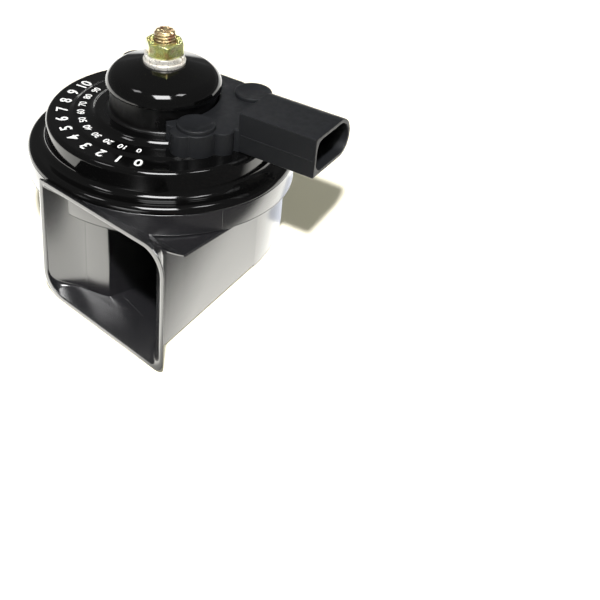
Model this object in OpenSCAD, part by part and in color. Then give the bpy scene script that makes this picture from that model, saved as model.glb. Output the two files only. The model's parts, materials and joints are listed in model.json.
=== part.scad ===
// Snail horn for a road vehicle: a moulded plastic trumpet with a spiral duct,
// and a pressed steel cap that holds the electromagnet, the diaphragm and the contact breaker.
// All heights are measured along the stud's axis, up from where it meets the flat underside.

/* [Steel cap] */
// Radius of the rolled rim
rim_r = 51.7; // [50:0.1:54]
// Height of the seat between the cap and the trumpet
seat_z = 33; // [31:0.5:35]
// Height of the flange above the seat
flange_h = 2.8; // [2.4:0.1:3.6]
// Width of the flange round the raised disc
flange_w = 7.1; // [6.6:0.1:8]
// Height of the disc's face above the flange
disc_h = 10.3; // [9.5:0.1:12]
// Radius at the middle of the hub's sloped step
hub_step_r = 27.4; // [27:0.1:28]
// Height of the hub's top above the disc's face
hub_h = 2.7; // [2.5:0.1:3.2]
// Radius of the neck that holds the coil
neck_r = 20.6; // [20:0.1:20.8]
// Height of the neck above the disc's face
neck_h = 14.9; // [14:0.1:15.2]
// Thickness of the pressed sheet
sheet_t = 1.2; // [0.9:0.1:1.4]

/* [Dome cap] */
// How far the dome's edge stands out over the neck
dome_over = 1.4; // [1.3:0.1:3]
// Height of the dome's edge above the disc's face
dome_edge_h = 12.6; // [11.5:0.1:13]
// Height of the washer seat above the dome's edge
dome_h = 9.3; // [9:0.1:11]
// Radius of the flat washer seat
dome_seat_r = 9; // [8.5:0.1:10]

/* [Stud and nut] */
// Radius of the free thread above the nut
stud_r = 3.95; // [3.9:0.01:3.95]
// Radius of the thread below the top of the nut
stud_low_r = 3.9; // [3.85:0.01:3.9]
// Length of the stud above the washer seat
stud_out = 12.7; // [12:0.1:16]
// Width of the nut across its flats
nut_af = 13; // [12:0.5:14]
// Height of the nut
nut_h = 5.2; // [4:0.1:6]
// Radius of the flat washer
washer_r = 8; // [7.5:0.1:8.5]
// Thickness of the flat washer
washer_t = 1.4; // [1:0.1:1.6]
// Radius of the spring washer
spring_washer_r = 7.4; // [7:0.1:7.5]
// Thickness of the spring washer
spring_washer_t = 2.2; // [1.6:0.1:2.4]

/* [Trumpet] */
// Lean of the stud's axis away from the vertical, in degrees
cap_lean = 11.1; // [8:0.1:12]
// Height of the skirt ring round the top of the trumpet
skirt_h = 9; // [8:0.5:10]
// How far the round wall stands in from the skirt
skirt_step = 3.3; // [2.5:0.1:4]
// Wall thickness of the trumpet
wall_t = 2.2; // [1.8:0.1:2.6]
// Distance of the mouth's plane from the stud's axis
mouth_y = 57.8; // [56:0.1:62]
// Width of the mouth over its lip
mouth_w = 65.5; // [60:0.5:68]
// Left edge of the mouth, from the stud's axis
mouth_left = 3.8; // [2:0.1:6]
// Height of the mouth's upper lip above the flat roof
lip_h = 14.8; // [12:0.1:16]
// Radius of the throat hole under the diaphragm
throat_r = 7; // [6:0.1:8]
// Thickness of the flat bottom cover
cover_t = 2; // [1.5:0.1:2.5]

/* [Connector] */
// Direction of the connector round the stud's axis, in degrees
conn_dir = 11.3; // [8:0.1:14]
// Height of the connector's base plate above the disc's face
plate_h = 8.9; // [8:0.1:9.5]
// Radius of the two round bosses over the rivets
boss_r = 7.25; // [6:0.05:7.5]
// Height of the bosses above the plate
boss_h = 1.5; // [1:0.1:2]
// Height of the plug shroud above the disc's face
shroud_h = 15.9; // [15:0.1:18]
// Distance of the shroud's mouth from the stud's axis
shroud_end = 70; // [66:0.5:76]
// Wall of the shroud
shroud_wall = 1.7; // [1.4:0.1:2]
// Depth of the shroud's socket
socket_depth = 26; // [20:0.5:28]
// Width of a terminal blade
blade_w = 2.8; // [2:0.1:3]
// Thickness of a terminal blade
blade_t = 0.8; // [0.6:0.1:1]
// Distance between the two blades
blade_pitch = 8; // [6:0.5:9]

/* [Magnet and diaphragm] */
// Radius of the fixed pole core
core_r = 7; // [6.5:0.1:7.5]
// Gap between the armature and the pole face
magnet_gap = 0.8; // [0.75:0.05:1.2]
// Radius of the armature
armature_r = 12; // [11.5:0.1:12.5]
// Thickness of the armature's disc
armature_t = 4; // [3:0.1:4.2]
// Thickness of the diaphragm
diaphragm_t = 0.35; // [0.25:0.05:0.5]
// Thickness of the clamping washers on the diaphragm
clamp_t = 1; // [0.8:0.1:1.2]

/* [Contact breaker] */
// Direction of the contact breaker and its adjusting screw, in degrees
breaker_dir = 155.8; // [150:0.1:170]
// Distance of the adjusting screw from the contact stack
adjuster_gap = 4.5; // [4:0.1:5.5]
// Radius of the adjusting screw
adjuster_r = 2; // [1.8:0.05:2.2]
// Radius of the cap over the adjusting screw
adjuster_cap_r = 6.5; // [6:0.1:7]
// Thickness of the springy contact blade
contact_blade_t = 0.4; // [0.3:0.05:0.5]
// Distance of the two contacts from the adjusting screw
contact_gap_r = 7; // [6:0.1:8]

/* [Hidden] */
$fn = 96;

// Direction in which the stud's axis leans
lean_dir = 105.8;
// Running clearance round moving shafts, and the clearance round pieces that are fitted once
run_gap = 0.05;
fit_gap = 0.1;

// Levels of the steel cap
disc_r = rim_r - flange_w;
flange_z = seat_z + flange_h;
face_z = flange_z + disc_h;
mid_drop = 2;
hub_z = face_z + hub_h;
mid_z = hub_z - mid_drop;
mid_r = 35.1;
neck_z = face_z + neck_h;
inner_face_z = face_z - sheet_t;
inner_neck_r = neck_r - sheet_t;
inner_neck_z = neck_z - sheet_t;
rim_edge = 2.5;
disc_edge = 2;
neck_edge = 1.5;
foot_fillet = 1.3;
flange_fillet = 3;
step_round = 1.6;

// Levels of the dome and of what is clamped on it
dome_r = neck_r + dome_over;
spacer_r = 7.5;
dome_edge_z = face_z + dome_edge_h;
dome_seat_z = dome_edge_z + dome_h;
dome_round = 6;
dome_slope = 71;
stud_top = dome_seat_z + stud_out;
washer_top = dome_seat_z + washer_t;
nut_z = washer_top + spring_washer_t;
nut_top = nut_z + nut_h;
stud_chamfer = 0.8;
runout_h = 0.5;
slot_w = 1;
slot_h = 0.7;
nut_turn = 25.5;
split_w = 0.5;
split_dir = 20;

// The trumpet: its round wall, its flat flank and its flared mouth
skirt_z = seat_z - skirt_h;
skirt_in_r = rim_r - 5.5;
round_r = rim_r - skirt_step;
hollow_r = round_r - wall_t;
roof_z = skirt_z;
roof_in = roof_z - wall_t;
deck_top = seat_z - 4.6;
deck_in = deck_top - wall_t;
flank_turn = 4.1;
deep = 30;
flare_back = 38;
flank_back = 47.5;
lip_z = roof_z + lip_h;
mouth_right = mouth_w - mouth_left;
left_slope = 0.75;
cover_inset = 1.5;
rib_t = 2;
tongue_r = round_r + 1.6;
tongue_x = 19;
inner_turn_r = 33;
inner_turn_end = 285;
throat_wall_r = throat_r + 3;

// Levels of the magnet
pole_gap_z = seat_z + diaphragm_t + clamp_t + 2.6;
armature_top = pole_gap_z + armature_t;
pole_z = armature_top + magnet_gap;
shoe_t = 1.4;
shoe_r = core_r + 2;
bobbin_z = pole_z + shoe_t;
bobbin_top = inner_neck_z;
bobbin_wall = 1.2;
bobbin_r = inner_neck_r - 0.3;
core_bore_z = 50;
stem_r = 3;
stem_low = 3.6;
nut_low_h = 2.4;
nut_low_r = 5.5;
armature_neck_r = 5.5;
clamp_r = 8;

// Levels of the contact breaker, under the disc's face
blade_z = armature_top + 0.2;
blade_top = blade_z + contact_blade_t;
contact_gap = 0.05;
fixed_h = 0.8;
moving_h = 0.95;
bracket_t = 1.2;
bracket_top = blade_z - moving_h - contact_gap - fixed_h;
bracket_z = bracket_top - bracket_t;
stack_out = disc_r - 2.6;
stack_l = 6.5;
stack_in = stack_out - stack_l;
adjuster_at = stack_in - adjuster_gap;
contact_at = adjuster_at - contact_gap_r;
contact_r = 2;
stack_rivet_r = 1.2;
stack_head_r = 1.9;
stack_head_h = 0.8;
arm_w = 8;
blade_arm_w = 7;
blade_lap = 1.6;
blade_hole_gap = 0.6;
stack_w = 10;
stack_mid = (stack_in + stack_out) / 2;
rivet_space = 3;
collar_r = 4;
collar_h = 1.7;

// The connector, in its own direction from the stud's axis
plate_top = face_z + plate_h;
shroud_top = face_z + shroud_h;
shroud_start = 38.6;
shroud_near = -7.2;
shroud_far = 20;
front_boss = [24.4, -14.4];
back_boss = [27.1, 20.7];
lobe_step = 0.85;
terminal_z = face_z + 6.5;
terminal_mid = (shroud_near + shroud_far) / 2;
front_c = terminal_mid - blade_pitch / 2;
back_c = terminal_mid + blade_pitch / 2;
blade_tip = shroud_end - 7;
rivet_r = 1.5;
rivet_head_r = 2.6;
rivet_head_h = 0.8;
bush_r = 2.1;
bush_top = face_z + 3.9;
bush_flange_r = 3.5;
bush_flange_t = 1;
lead_r = 0.5;
lead_z = inner_face_z - bush_flange_t - lead_r - run_gap;

steel_black = "#141414";
plastic_black = "#1c1c1e";
matt_black = "#26272a";
zinc_yellow = "#b9a86a";
zinc = "#c6c2b4";
copper = "#b5683a";
brass = "#b59a52";
steel = "#8f9194";

// Points along an arc, from angle a0 to angle a1
function arc(c, r, a0, a1, n = 8) =
    [for (i = [0 : n]) let (a = a0 + (a1 - a0) * i / n) c + r * [cos(a), sin(a)]];
function rev(p) = [for (i = [len(p) - 1 : -1 : 0]) p[i]];
function unit(v) = v / norm(v);

// Carries a piece from the stud's own axes to the part's axes
module on_stud() {
    rotate(a = cap_lean, v = [-sin(lean_dir), cos(lean_dir), 0])
        children();
}
module toward_conn() {
    on_stud() rotate([0, 0, conn_dir]) children();
}
module toward_breaker() {
    on_stud() rotate([0, 0, breaker_dir]) children();
}
module tube(r_in, r_out, z0, z1) {
    translate([0, 0, z0])
        difference() {
            cylinder(r = r_out, h = z1 - z0);
            translate([0, 0, -1]) cylinder(r = r_in, h = z1 - z0 + 2);
        }
}
module rod(r, z0, z1) {
    translate([0, 0, z0]) cylinder(r = r, h = z1 - z0);
}
module at(p) {
    translate([p[0], p[1], 0]) children();
}

// Steel cap

// The hub's sloped step: a convex and a concave quarter-turn of 45 degrees, joined by a straight slope.
// k moves the curve inwards by the sheet's thickness.
step_w = mid_drop + 0.828 * step_round;
step_0 = hub_step_r - step_w / 2;
function hub_step(k) = concat(
    arc([step_0, hub_z - step_round], step_round - k, 90, 45, 4),
    arc([step_0 + step_w, mid_z + step_round], step_round + k, 225, 270, 4));
function cap_outer() = concat(
    [[stud_r + 0.15, neck_z]],
    arc([neck_r - neck_edge, neck_z - neck_edge], neck_edge, 90, 0),
    arc([neck_r + foot_fillet, hub_z + foot_fillet], foot_fillet, 180, 270, 5),
    hub_step(0),
    [[mid_r - 0.5, mid_z], [mid_r + 0.5, face_z]],
    arc([disc_r - disc_edge, face_z - disc_edge], disc_edge, 90, 0),
    arc([disc_r + flange_fillet, flange_z + flange_fillet], flange_fillet, 180, 270),
    arc([rim_r - rim_edge, flange_z - rim_edge], rim_edge, 90, 0),
    [[rim_r, seat_z]]);
function cap_inner() = concat(
    [[stud_r + 0.15, inner_neck_z]],
    [[inner_neck_r, inner_neck_z]],
    arc([neck_r + foot_fillet, hub_z + foot_fillet], foot_fillet + sheet_t, 180, 270, 5),
    hub_step(sheet_t),
    [[mid_r - 0.8, mid_z - sheet_t], [mid_r + 0.2, inner_face_z]],
    arc([disc_r - disc_edge, face_z - disc_edge], disc_edge - sheet_t, 90, 0, 5),
    arc([disc_r + flange_fillet, flange_z + flange_fillet], flange_fillet + sheet_t, 180, 270),
    arc([rim_r - rim_edge, flange_z - rim_edge], rim_edge - sheet_t, 90, 0, 5),
    [[rim_r - sheet_t, seat_z]]);
module steel_housing() {
    color(steel_black)
        on_stud()
            difference() {
                union() {
                    rotate_extrude() polygon(concat(cap_outer(), rev(cap_inner())));
                    rotate([0, 0, breaker_dir])
                        at([adjuster_at, 0])
                            rod(collar_r, inner_face_z - collar_h, mid_z - sheet_t / 2);
                }
                rotate([0, 0, breaker_dir])
                    at([adjuster_at, 0])
                        rod(adjuster_r + run_gap, seat_z, neck_z);
                rotate([0, 0, conn_dir])
                    for (p = [front_boss, back_boss])
                        at(p) rod(bush_r + run_gap, flange_z, neck_z);
            }
}

// Dome over the neck, clamped by the nut
dome_c = [dome_r - dome_round, dome_edge_z + 0.8];
function dome_side(k) = arc(dome_c, dome_round - k, dome_slope, 0, 12);
module dome_cap() {
    inner = dome_side(sheet_t);
    color(steel_black)
        on_stud()
            rotate_extrude()
                polygon(concat(
                    [[stud_r + 0.15, dome_seat_z], [dome_seat_r, dome_seat_z]],
                    dome_side(0),
                    [[dome_r, dome_edge_z], [dome_r - sheet_t, dome_edge_z]],
                    rev(inner),
                    [[dome_seat_r, dome_seat_z - sheet_t], [stud_r + 0.15, dome_seat_z - sheet_t]]));
}
module stud_spacer() {
    color(steel)
        on_stud() tube(stud_r + fit_gap, spacer_r, neck_z, dome_seat_z - sheet_t);
}

// Stud, nut and washers
module mounting_stud() {
    color(zinc_yellow)
        on_stud()
            difference() {
                union() {
                    rod(stud_low_r, core_bore_z, nut_top + 0.1 - runout_h);
                    rod(stud_low_r - runout_h, core_bore_z, nut_top + 0.2);
                    rod(stud_r, nut_top + 0.1, stud_top - stud_chamfer);
                    translate([0, 0, stud_top - stud_chamfer])
                        cylinder(r1 = stud_r, r2 = stud_r - stud_chamfer, h = stud_chamfer);
                }
                translate([-stud_r, -slot_w / 2, stud_top - slot_h]) cube([2 * stud_r, slot_w, 2 * slot_h]);
            }
}
module flat_washer() {
    color(zinc)
        on_stud() tube(stud_r + 0.2, washer_r, dome_seat_z, washer_top);
}
module spring_washer() {
    color(zinc)
        on_stud()
            difference() {
                tube(stud_r + 0.2, spring_washer_r, washer_top, nut_z);
                rotate([0, 0, split_dir])
                    translate([(stud_r + spring_washer_r) / 2, 0, (washer_top + nut_z) / 2])
                        rotate([30, 0, 0])
                            cube([spring_washer_r, split_w, 3 * spring_washer_t], center = true);
            }
}
nut_corner_r = nut_af / 2 / cos(30);
module hex_nut() {
    color(zinc_yellow)
        on_stud()
            difference() {
                intersection() {
                    translate([0, 0, nut_z])
                        rotate([0, 0, nut_turn])
                            cylinder(r = nut_corner_r, h = nut_h, $fn = 6);
                    rotate_extrude()
                        polygon([[0, nut_z], [nut_af / 2, nut_z], [nut_corner_r, nut_z + 0.6],
                            [nut_corner_r, nut_top - 0.6], [nut_af / 2, nut_top], [0, nut_top]]);
                }
                rod(stud_r + run_gap, nut_z - 1, nut_top + 1);
            }
}

// Trumpet

// The underside, in the stud's own axes, is a sloping plane
slope_x = -tan(cap_lean) * cos(lean_dir - 180);
slope_y = -tan(cap_lean) * sin(lean_dir - 180);
function floor_z(x, y) = slope_x * x + slope_y * y;
function flank_x(y) = (round_r - sin(flank_turn) * y) / cos(flank_turn);

// How far the flare has opened at a distance y in front of the axis, from 0 to 1
function open_by(y, y0, k) = y < y0 ? 0 : pow((y - y0) / (mouth_y - y0), k);
function right_x(y) = flank_x(-y) + (mouth_right - flank_x(-mouth_y)) * open_by(y, flank_back, 1.4);
function left_x(y) = -mouth_left - left_slope * min(mouth_y - y, 13);
function top_z(y) = roof_z + lip_h * open_by(y, flare_back, 1.1);
function corner_r(y) = 1 + 8.5 * open_by(y, flank_back, 1);

// One section of the mouth at y, drawn in by k: four sides with rounded corners
function mouth_ring(y, k, n = 6) =
    let (x0 = left_x(y) + k, x1 = right_x(y) - k, z1 = top_z(y) - k, r = corner_r(y), rb = r / 2)
    let (up = k > 0 ? cover_t / cos(cap_lean) : -0.6, b0 = floor_z(x0, -y) + up, b1 = floor_z(x1, -y) + up)
    [for (p = concat(
        arc([x1 - r, z1 - r], r, 0, 90, n),
        arc([x0 + 1, z1 - 1], 1, 90, 180, n),
        arc([x0 + r, b0 + r], r, 180, 270, n),
        arc([x1 - rb, b1 + rb], rb, 270, 360, n))) [p[0], -y, p[1]]];
module mouth_block(k, y_end) {
    steps = 12;
    rings = [for (i = [0 : steps]) mouth_ring(flare_back + (y_end - flare_back) * i / steps, k)];
    n = len(rings[0]);
    pts = [for (r = rings) each r];
    polyhedron(pts, concat(
        [[for (j = [0 : n - 1]) j]],
        [[for (j = [n - 1 : -1 : 0]) steps * n + j]],
        [for (i = [0 : steps - 1], j = [0 : n - 1]) each
            [[i * n + j, (i + 1) * n + j, (i + 1) * n + (j + 1) % n],
                [i * n + j, (i + 1) * n + (j + 1) % n, i * n + (j + 1) % n]]]), convexity = 6);
}

// Plan of the straight duct behind the flared mouth, drawn in by k. It starts where the flank leaves the round wall.
duct_back = round_r * sin(flank_turn);
module duct_plan(k, x0) {
    polygon([[x0, duct_back - k], [x0, -flare_back], [flank_x(-flare_back) - k, -flare_back],
        [flank_x(duct_back) - k, duct_back - k]]);
}

// Spiral wall: from the tongue beside the mouth round to the throat, as one path
spiral_0 = [tongue_x, -8];
spiral_r0 = norm(spiral_0);
spiral_a0 = atan2(-8, tongue_x);
spiral = [for (i = [0 : 48]) let (f = i / 48, a = spiral_a0 + f * (inner_turn_end - spiral_a0))
    (spiral_r0 + f * (inner_turn_r - spiral_r0)) * [cos(a), sin(a)]];
throat_bend = arc([0, 0], throat_wall_r, -40, -300, 20);
bend_r = spiral_r0 + (inner_turn_r - spiral_r0) * (60 - spiral_a0) / (inner_turn_end - spiral_a0);
spiral_path = concat([[tongue_x, -round_r]], spiral, [throat_bend[0]]);
throat_path = concat(throat_bend, [bend_r * [cos(60), sin(60)]]);
function side(p, i) =
    let (a = p[max(i - 1, 0)], b = p[i], c = p[min(i + 1, len(p) - 1)])
    let (d0 = i == 0 ? unit(c - b) : unit(b - a), d1 = i == len(p) - 1 ? d0 : unit(c - b))
    let (t = unit(d0 + d1))
    [-t[1], t[0]] / max(0.6, t * d0);
module ribbon(p, t) {
    polygon(concat([for (i = [0 : len(p) - 1]) p[i] + side(p, i) * t / 2],
        [for (i = [len(p) - 1 : -1 : 0]) p[i] - side(p, i) * t / 2]));
}
// The flat underside, and the space in it that the bottom cover fills: the round wall's inside and the straight duct
module slab(z0, z1) {
    translate([-100, -100, z0]) cube([200, 200, z1 - z0]);
}
module cover_block() {
    intersection() {
        slab(0, cover_t);
        on_stud() {
            rod(round_r - cover_inset, -deep, roof_z);
            translate([0, 0, -deep])
                linear_extrude(roof_z + deep)
                    polygon([[8, duct_back - 3], [8, -flare_back], [flank_x(-flare_back) - cover_inset, -flare_back],
                        [flank_x(duct_back - 3) - cover_inset, duct_back - 3]]);
        }
    }
}
module trumpet_body() {
    color(plastic_black)
        difference() {
            on_stud() {
                difference() {
                    union() {
                        rod(rim_r, skirt_z, seat_z);
                        rod(round_r, -deep, seat_z - 1);
                        translate([0, 0, -deep]) linear_extrude(roof_z + deep) duct_plan(0, 8);
                        mouth_block(0, mouth_y);
                    }
                    rod(rim_r + fit_gap, seat_z, lip_z + 1);
                    rod(skirt_in_r, deck_top, seat_z + 1);
                    rod(throat_r, deck_in - 1, seat_z);
                    rod(hollow_r, -deep - 1, deck_in);
                    difference() {
                        union() {
                            translate([0, 0, -deep - 1])
                                linear_extrude(roof_in + deep + 1) duct_plan(wall_t, tongue_x + rib_t / 2);
                            mouth_block(wall_t, mouth_y + 1);
                        }
                        rod(rim_r, skirt_z, seat_z);
                        intersection() {
                            rod(tongue_r, -deep - 2, skirt_z + 1);
                            translate([-rim_r, -rim_r, -deep - 3])
                                cube([rim_r + tongue_x + rib_t / 2, rim_r, 2 * deep + 4]);
                        }
                    }
                }
                translate([0, 0, -deep])
                    linear_extrude(deck_in + deep + 0.5)
                        intersection() {
                            union() {
                                ribbon(spiral_path, rib_t);
                                ribbon(throat_path, rib_t);
                            }
                            circle(r = hollow_r + wall_t / 2);
                        }
            }
            slab(-100, 0);
            cover_block();
        }
}
module bottom_cover() {
    color(plastic_black) cover_block();
}

// Magnet
module pole_core() {
    color(steel)
        on_stud()
            difference() {
                union() {
                    rod(core_r, bobbin_z, inner_neck_z);
                    rod(shoe_r, pole_z, bobbin_z);
                }
                rod(stud_low_r + run_gap, core_bore_z, neck_z);
            }
}
module coil_bobbin() {
    color(matt_black)
        on_stud() {
            tube(core_r + run_gap, core_r + run_gap + bobbin_wall, bobbin_z, bobbin_top);
            tube(core_r + run_gap + 0.5, bobbin_r, bobbin_z, bobbin_z + bobbin_wall);
            tube(core_r + run_gap + 0.5, bobbin_r, bobbin_top - bobbin_wall, bobbin_top);
        }
}
module coil_winding() {
    color(copper)
        on_stud()
            tube(core_r + run_gap + bobbin_wall + 0.02, bobbin_r - 1.4,
                bobbin_z + bobbin_wall, bobbin_top - bobbin_wall);
}

// Diaphragm and armature
module diaphragm() {
    color(steel)
        on_stud() tube(stem_r + run_gap, rim_r - sheet_t - 0.3, seat_z, seat_z + diaphragm_t);
}
module diaphragm_gasket() {
    color(matt_black)
        on_stud() tube(skirt_in_r + 0.4, rim_r - rim_edge - 0.2, seat_z + diaphragm_t, flange_z - sheet_t);
}
module armature() {
    color(steel)
        on_stud() {
            rod(armature_r, pole_gap_z, armature_top);
            rod(armature_neck_r, seat_z + diaphragm_t + clamp_t, pole_gap_z + fit_gap);
            rod(stem_r, seat_z - stem_low, pole_gap_z);
        }
}
module armature_washers() {
    color(steel)
        on_stud() {
            tube(stem_r + run_gap, clamp_r, seat_z + diaphragm_t, seat_z + diaphragm_t + clamp_t);
            tube(stem_r + run_gap, clamp_r, seat_z - clamp_t, seat_z);
        }
}
module armature_nut() {
    color(zinc)
        on_stud()
            difference() {
                translate([0, 0, seat_z - clamp_t - nut_low_h]) cylinder(r = nut_low_r, h = nut_low_h, $fn = 6);
                rod(stem_r + run_gap, skirt_z, seat_z);
            }
}

// Contact breaker
module stack_block(z0, z1) {
    translate([stack_in, -stack_w / 2, z0]) cube([stack_out - stack_in, stack_w, z1 - z0]);
}
module stack_holes(r) {
    for (s = [-1, 1]) at([stack_mid, s * rivet_space]) rod(r, seat_z, neck_z);
}
module contact_bracket() {
    color(brass)
        toward_breaker()
            difference() {
                union() {
                    stack_block(bracket_z, bracket_top);
                    translate([contact_at - arm_w / 2, -arm_w / 2, bracket_z])
                        cube([stack_in - contact_at + arm_w / 2 + 1, arm_w, bracket_t]);
                }
                stack_holes(stack_rivet_r + run_gap);
            }
}
module fixed_contact() {
    color(zinc)
        toward_breaker() at([contact_at, 0]) rod(contact_r, bracket_top, bracket_top + fixed_h);
}
module contact_blade() {
    color(brass)
        toward_breaker()
            difference() {
                union() {
                    stack_block(blade_z, blade_top);
                    translate([armature_r - blade_lap, -blade_arm_w / 2, blade_z])
                        cube([stack_in - armature_r + blade_lap + 1, blade_arm_w, contact_blade_t]);
                }
                stack_holes(stack_rivet_r + run_gap);
                at([adjuster_at, 0]) rod(adjuster_r + blade_hole_gap, seat_z, neck_z);
            }
}
module moving_contact() {
    color(zinc)
        toward_breaker() at([contact_at, 0]) rod(0.9 * contact_r, blade_z - moving_h, blade_z);
}
module contact_insulators() {
    color(matt_black)
        toward_breaker()
            difference() {
                union() {
                    stack_block(bracket_top, blade_z);
                    stack_block(blade_top, inner_face_z);
                }
                stack_holes(stack_rivet_r + run_gap);
            }
}
module contact_rivets() {
    color(zinc)
        toward_breaker() {
            stack_rivets(stack_rivet_r, bracket_z, inner_face_z);
            stack_rivets(stack_head_r, bracket_z - stack_head_h, bracket_z);
        }
}
module stack_rivets(r, z0, z1) {
    for (s = [-1, 1]) at([stack_mid, s * rivet_space]) rod(r, z0, z1);
}
module adjusting_screw() {
    color(zinc_yellow)
        toward_breaker()
            at([adjuster_at, 0])
                difference() {
                    rod(adjuster_r, bracket_top + 0.03, face_z + 5);
                    translate([-adjuster_r, -slot_w / 2, face_z + 5 - slot_h])
                        cube([2 * adjuster_r, slot_w, 2 * slot_h]);
                }
}

// Clears a plastic piece from the neck, the hub and the step of the steel cap
module cap_clearance() {
    rod(neck_r + 0.4, flange_z, dome_seat_z);
    rod(step_0 + step_w + 0.3, flange_z, hub_z + fit_gap);
    rod(mid_r + 0.7, flange_z, mid_z + fit_gap);
}
module adjuster_cap() {
    color(matt_black)
        on_stud()
            difference() {
                rotate([0, 0, breaker_dir])
                    at([adjuster_at, 0]) {
                        rod(adjuster_cap_r, face_z, plate_top);
                        translate([0, 0, plate_top])
                            cylinder(r1 = adjuster_cap_r, r2 = adjuster_cap_r - 0.6, h = 0.9);
                    }
                cap_clearance();
                rotate([0, 0, breaker_dir])
                    at([adjuster_at, 0]) rod(adjuster_cap_r - 2, seat_z, plate_top - 1.5);
            }
}

// Connector

// Outline of the shroud across its length, drawn in by k: a flat near side and a round far side
function shroud_outline(k, near_r) =
    let (r1 = 7 - k, r2 = 5 - k, z0 = face_z + k, z1 = shroud_top - k)
    let (x0 = shroud_near + k, x1 = shroud_far - k)
    concat(arc([x0 + near_r, z1 - near_r], near_r, 180, 90, 5),
        arc([x1 - r1, z1 - r1], r1, 90, 0, 8),
        arc([x1 - r2, z0 + r2], r2, 0, -90, 8),
        arc([x0 + near_r, z0 + near_r], near_r, 270, 180, 5));
module along_shroud(x0, x1) {
    translate([x0, 0, 0]) rotate([90, 0, 90]) linear_extrude(x1 - x0) children();
}
module plate_plan() {
    polygon([[2, 26], [6, 27.5], [18, 27.5], [shroud_start, 22], [shroud_start, shroud_near],
        [34, -8], [24, -20], [15, -20], [8, -10]]);
    translate(front_boss) circle(r = boss_r + lobe_step);
    translate(back_boss) circle(r = boss_r + lobe_step / 2);
    translate([22.5, -20.5]) circle(r = 4.4);
    translate([33, -10]) circle(r = 4.2);
}
// A terminal: a cross bar from its rivet to its own line, and the blade along that line
module terminal_plan(p, c, k) {
    y0 = min(p[1], c);
    y1 = max(p[1], c);
    w = blade_w / 2 + k;
    translate([p[0] - w, y0 - w]) square([2 * w, y1 - y0 + 2 * w]);
    translate([p[0] - w, c - w]) square([blade_tip + 2 * k - p[0] + w, 2 * w]);
    translate(p) circle(r = rivet_head_r + k);
}
module terminal_pocket(p, c) {
    translate([0, 0, terminal_z - fit_gap / 2])
        linear_extrude(blade_t + fit_gap) terminal_plan(p, c, fit_gap / 2);
    at(p) {
        rod(bush_r + fit_gap / 2, flange_z, bush_top + 0.05);
        rod(rivet_r + fit_gap, flange_z, terminal_z + blade_t);
        rod(rivet_head_r + fit_gap, terminal_z + blade_t, terminal_z + blade_t + rivet_head_h + 0.1);
    }
}
module connector_housing() {
    color(matt_black)
        on_stud()
            difference() {
                rotate([0, 0, conn_dir]) {
                    translate([0, 0, face_z]) linear_extrude(plate_h) plate_plan();
                    for (p = [front_boss, back_boss])
                        at(p) rod(boss_r, plate_top - 0.5, plate_top + boss_h);
                    along_shroud(shroud_start - 0.5, shroud_end) polygon(shroud_outline(0, 0.8));
                }
                cap_clearance();
                rotate([0, 0, conn_dir]) {
                    along_shroud(shroud_end - socket_depth, shroud_end + 1)
                        polygon(shroud_outline(shroud_wall, 4));
                    terminal_pocket(front_boss, front_c);
                    terminal_pocket(back_boss, back_c);
                }
            }
}
module terminal(p, c) {
    color(brass)
        toward_conn()
            difference() {
                translate([0, 0, terminal_z]) linear_extrude(blade_t) terminal_plan(p, c, 0);
                at(p) rod(rivet_r + run_gap, flange_z, neck_z);
            }
}
module terminal_front() {
    terminal(front_boss, front_c);
}
module terminal_back() {
    terminal(back_boss, back_c);
}
module terminal_rivets() {
    color(brass)
        toward_conn()
            for (p = [front_boss, back_boss])
                at(p) {
                    rod(rivet_r, inner_face_z - bush_flange_t - rivet_head_h, terminal_z + blade_t + rivet_head_h);
                    rod(rivet_head_r, inner_face_z - bush_flange_t - rivet_head_h, inner_face_z - bush_flange_t);
                    rod(rivet_head_r, terminal_z + blade_t, terminal_z + blade_t + rivet_head_h);
                }
}
module rivet_insulators() {
    color("#8a3a2a")
        toward_conn()
            for (p = [front_boss, back_boss])
                at(p) {
                    tube(rivet_r + run_gap, bush_r, inner_face_z - bush_flange_t, bush_top);
                    tube(rivet_r + run_gap, bush_flange_r, inner_face_z - bush_flange_t, inner_face_z);
                }
}

// Leads from the coil to the front rivet and, past the adjusting screw, to the contact stack
front_rivet_dir = conn_dir + atan2(front_boss[1], front_boss[0]);
lead_side = collar_r + lead_r + 0.3;
module lead(dir, x0, x1, y) {
    on_stud()
        rotate([0, 0, dir])
            translate([x0, y, lead_z]) rotate([0, 90, 0]) cylinder(r = lead_r, h = x1 - x0, $fn = 24);
}
module coil_leads() {
    color(copper) {
        lead(front_rivet_dir, bobbin_r + run_gap, norm(front_boss) - rivet_head_r - fit_gap, 0);
        lead(breaker_dir, bobbin_r + run_gap, stack_in - run_gap, -lead_side);
    }
}
// Lead from the back rivet round to the contact stack
back_rivet_dir = conn_dir + atan2(back_boss[1], back_boss[0]);
feed_r = norm(back_boss);
feed_gap = asin((rivet_head_r + 0.1) / feed_r);
feed_end = breaker_dir - atan2(stack_w / 2, stack_in) - 1;
module feed_lead() {
    z = inner_face_z - bush_flange_t - 0.5;
    from = back_rivet_dir + feed_gap;
    color(copper)
        on_stud()
            rotate([0, 0, from])
                rotate_extrude(angle = feed_end - from)
                    translate([feed_r + 2, z]) circle(r = lead_r, $fn = 24);
}

trumpet_body();
bottom_cover();
steel_housing();
dome_cap();
stud_spacer();
mounting_stud();
flat_washer();
spring_washer();
hex_nut();
pole_core();
coil_bobbin();
coil_winding();
diaphragm();
diaphragm_gasket();
armature();
armature_washers();
armature_nut();
contact_bracket();
fixed_contact();
contact_blade();
moving_contact();
contact_insulators();
contact_rivets();
adjusting_screw();
adjuster_cap();
connector_housing();
terminal_front();
terminal_back();
terminal_rivets();
rivet_insulators();
coil_leads();
feed_lead();
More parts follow.
